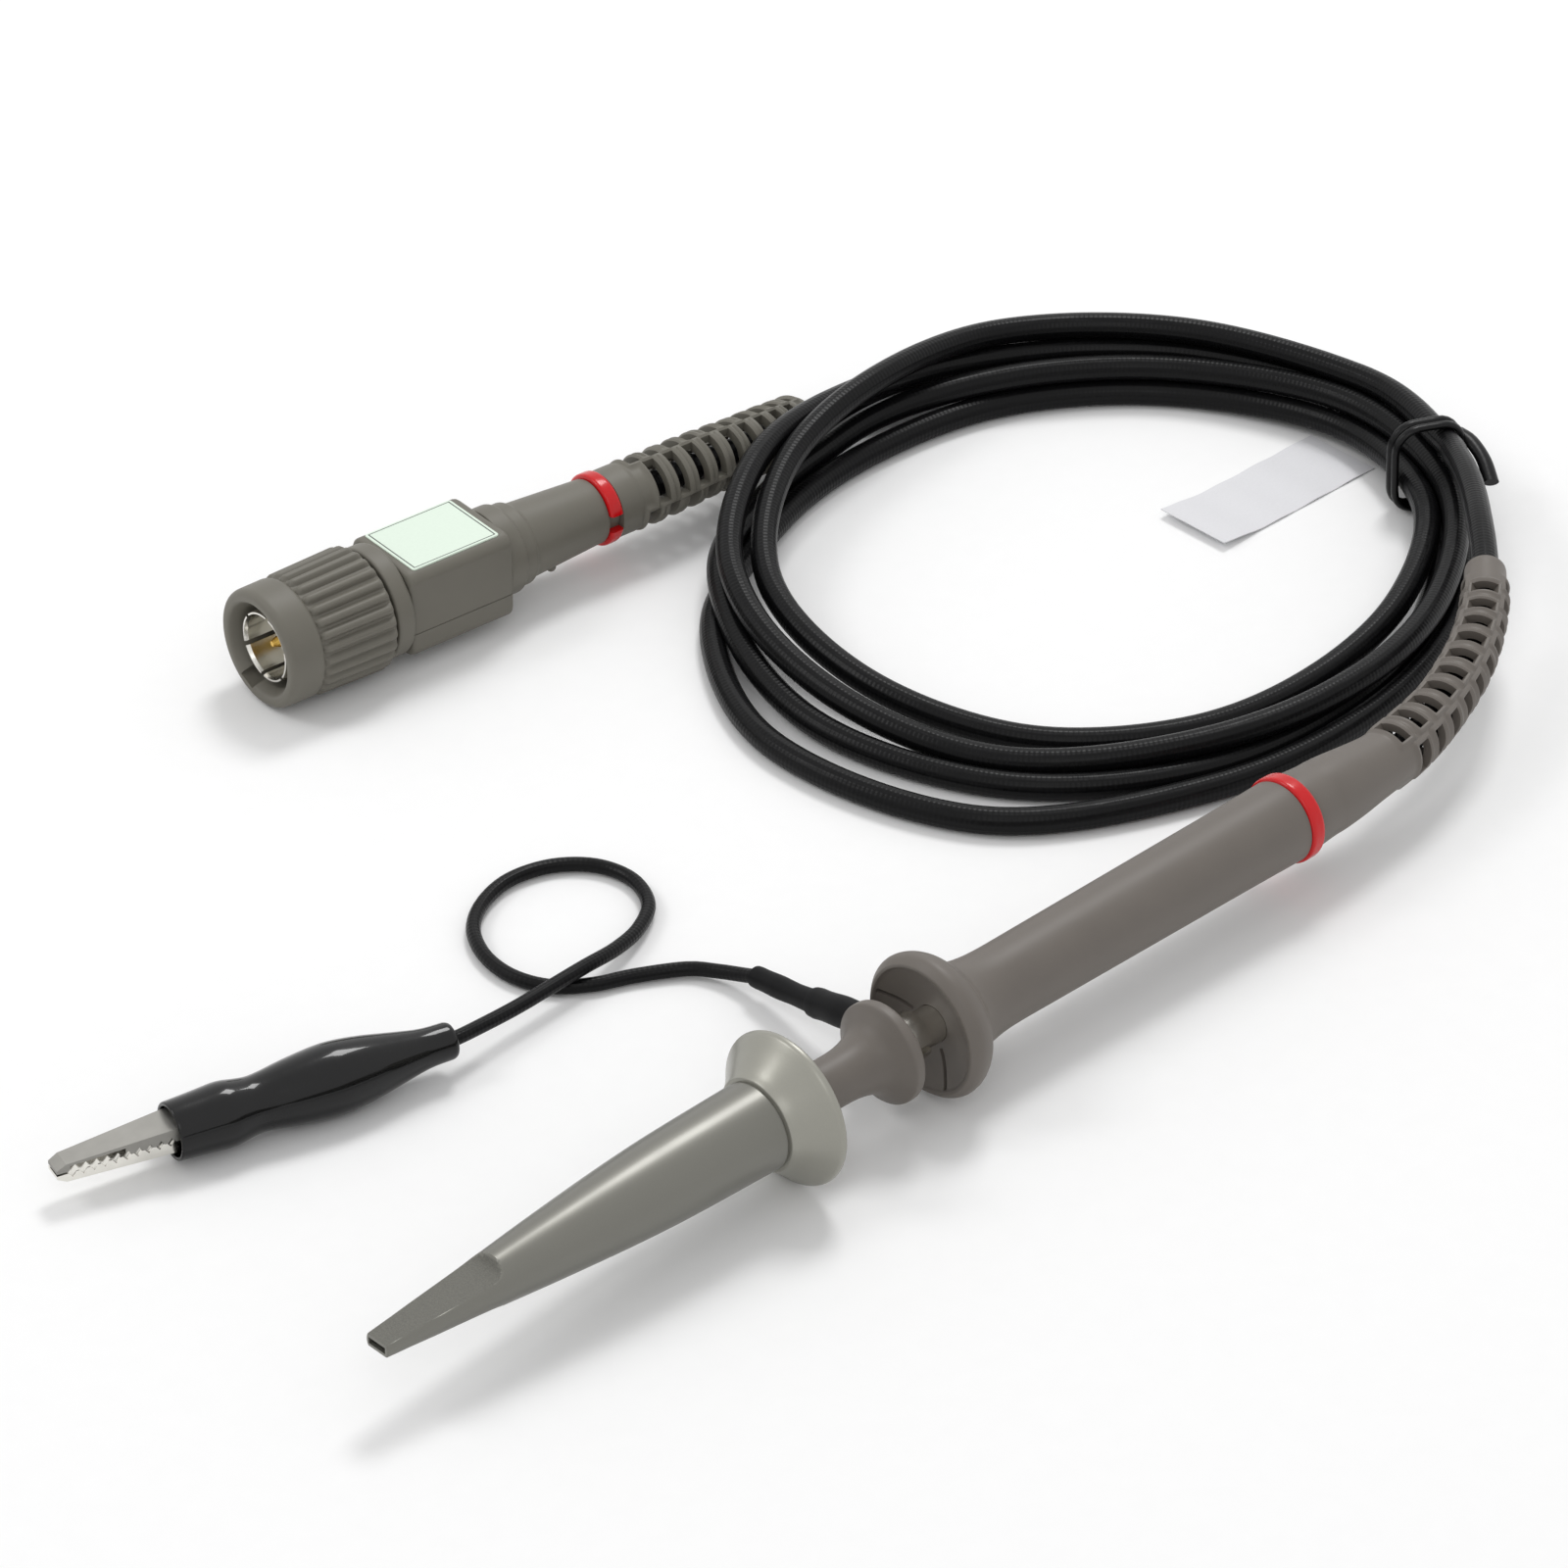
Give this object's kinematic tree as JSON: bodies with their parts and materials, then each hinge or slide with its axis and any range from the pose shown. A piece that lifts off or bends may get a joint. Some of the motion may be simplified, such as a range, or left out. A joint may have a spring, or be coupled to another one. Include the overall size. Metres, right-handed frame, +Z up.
{
  "type": "oscilloscope probe",
  "caption": "Passive oscilloscope probe with a spring hook tip, range switch, ground lead with crocodile clip, coiled cable and a compensation box ending in a bayonet plug.",
  "frame": {"origin": "on the table under the middle of the probe head, which runs from the end of the hook tip to the red ring", "axes": "+X along the probe head towards the cable, +Z up, +Y to the side where the cable is coiled"},
  "size_m": [0.2, 0.1143, 0.0166],
  "materials": {
    "grip_plastic": "satin",
    "box_plastic": "satin",
    "sleeve_plastic": "satin",
    "red_plastic": "gloss",
    "white_plastic": "satin",
    "core_plastic": "satin",
    "black_plastic": "satin",
    "cable_rubber": "satin",
    "boot_vinyl": "gloss",
    "shrink_rubber": "matte",
    "nickel": "polished",
    "spring_steel": "satin",
    "gold": "polished",
    "brass": "satin",
    "label_film": "matte",
    "paper": "matte",
    "board": "satin"
  },
  "bodies": {
    "probe": {"handle": "grip_plastic", "probe_pin": "gold", "nose_insulator": "core_plastic", "ground_barrel": "nickel", "shield_tube": "brass", "attenuator_board": "board", "switch_body": "black_plastic", "ring_probe": "red_plastic", "relief_probe": "grip_plastic", "ferrule_probe": "nickel", "ground_clip": "nickel", "lead_boot_thick": "shrink_rubber", "lead_boot_thin": "shrink_rubber", "ground_cord": "cable_rubber", "clip_boot": "boot_vinyl", "clip_lower_jaw": "nickel", "clip_pin": "nickel", "clip_spring": "spring_steel", "cable_lead_probe": "cable_rubber", "cable_coil": "cable_rubber", "wire_tie": "black_plastic", "label_flag": "paper", "cable_lead_comp": "cable_rubber", "relief_comp": "box_plastic", "ring_comp": "red_plastic", "ferrule_comp": "nickel", "comp_tail": "box_plastic", "comp_shell_top": "box_plastic", "comp_shell_bottom": "box_plastic", "comp_label": "label_film", "comp_board": "board", "trimmer_body": "core_plastic", "bnc_body": "nickel", "bnc_insulator": "white_plastic", "bnc_pin": "gold", "bnc_gasket": "cable_rubber", "bnc_washer": "spring_steel", "neck_ring": "box_plastic"},
    "switch": {"switch_slider": "sleeve_plastic"},
    "tip": {"hook_barrel": "grip_plastic", "contact_socket": "gold", "hook_wire": "spring_steel", "hook_spring": "spring_steel"},
    "sleeve": {"hook_sleeve": "sleeve_plastic"},
    "jaw": {"clip_upper_jaw": "nickel"},
    "trimmer": {"trimmer_rotor": "brass"},
    "bayonet": {"bnc_sleeve": "box_plastic"}
  },
  "joints": [
    {"name": "tip_pull_off", "type": "slide", "parent": "probe", "child": "tip", "axis": [-1, 0, 0], "range_m": [0, 0.03]},
    {"name": "hook_draw", "type": "slide", "parent": "tip", "child": "sleeve", "axis": [1, 0, 0], "range_m": [0, 0.007], "stiffness_N_per_m": 350, "springref_m": -0.004, "deforming": ["hook_spring"]},
    {"name": "range_switch", "type": "slide", "parent": "probe", "child": "switch", "axis": [1, 0, 0], "range_m": [0, 0.0025]},
    {"name": "jaw_open", "type": "hinge", "parent": "probe", "child": "jaw", "pos_m": [-0.0433, 0.04101, 0.00375], "axis": [0.2504, 0.9681, 0], "range_deg": [0, 14], "stiffness_Nm_per_rad": 0.08, "springref_deg": -17.19, "deforming": ["clip_spring", "clip_boot"]},
    {"name": "trimmer_turn", "type": "hinge", "parent": "probe", "child": "trimmer", "pos_m": [0.03023, 0.10006, 0.008], "axis": [0.0872, 0.9962, 0], "continuous": true},
    {"name": "bayonet_turn", "type": "hinge", "parent": "probe", "child": "bayonet", "pos_m": [0.01383, 0.09848, 0.0071], "axis": [-0.9962, 0.0872, 0], "continuous": true}
  ]
}
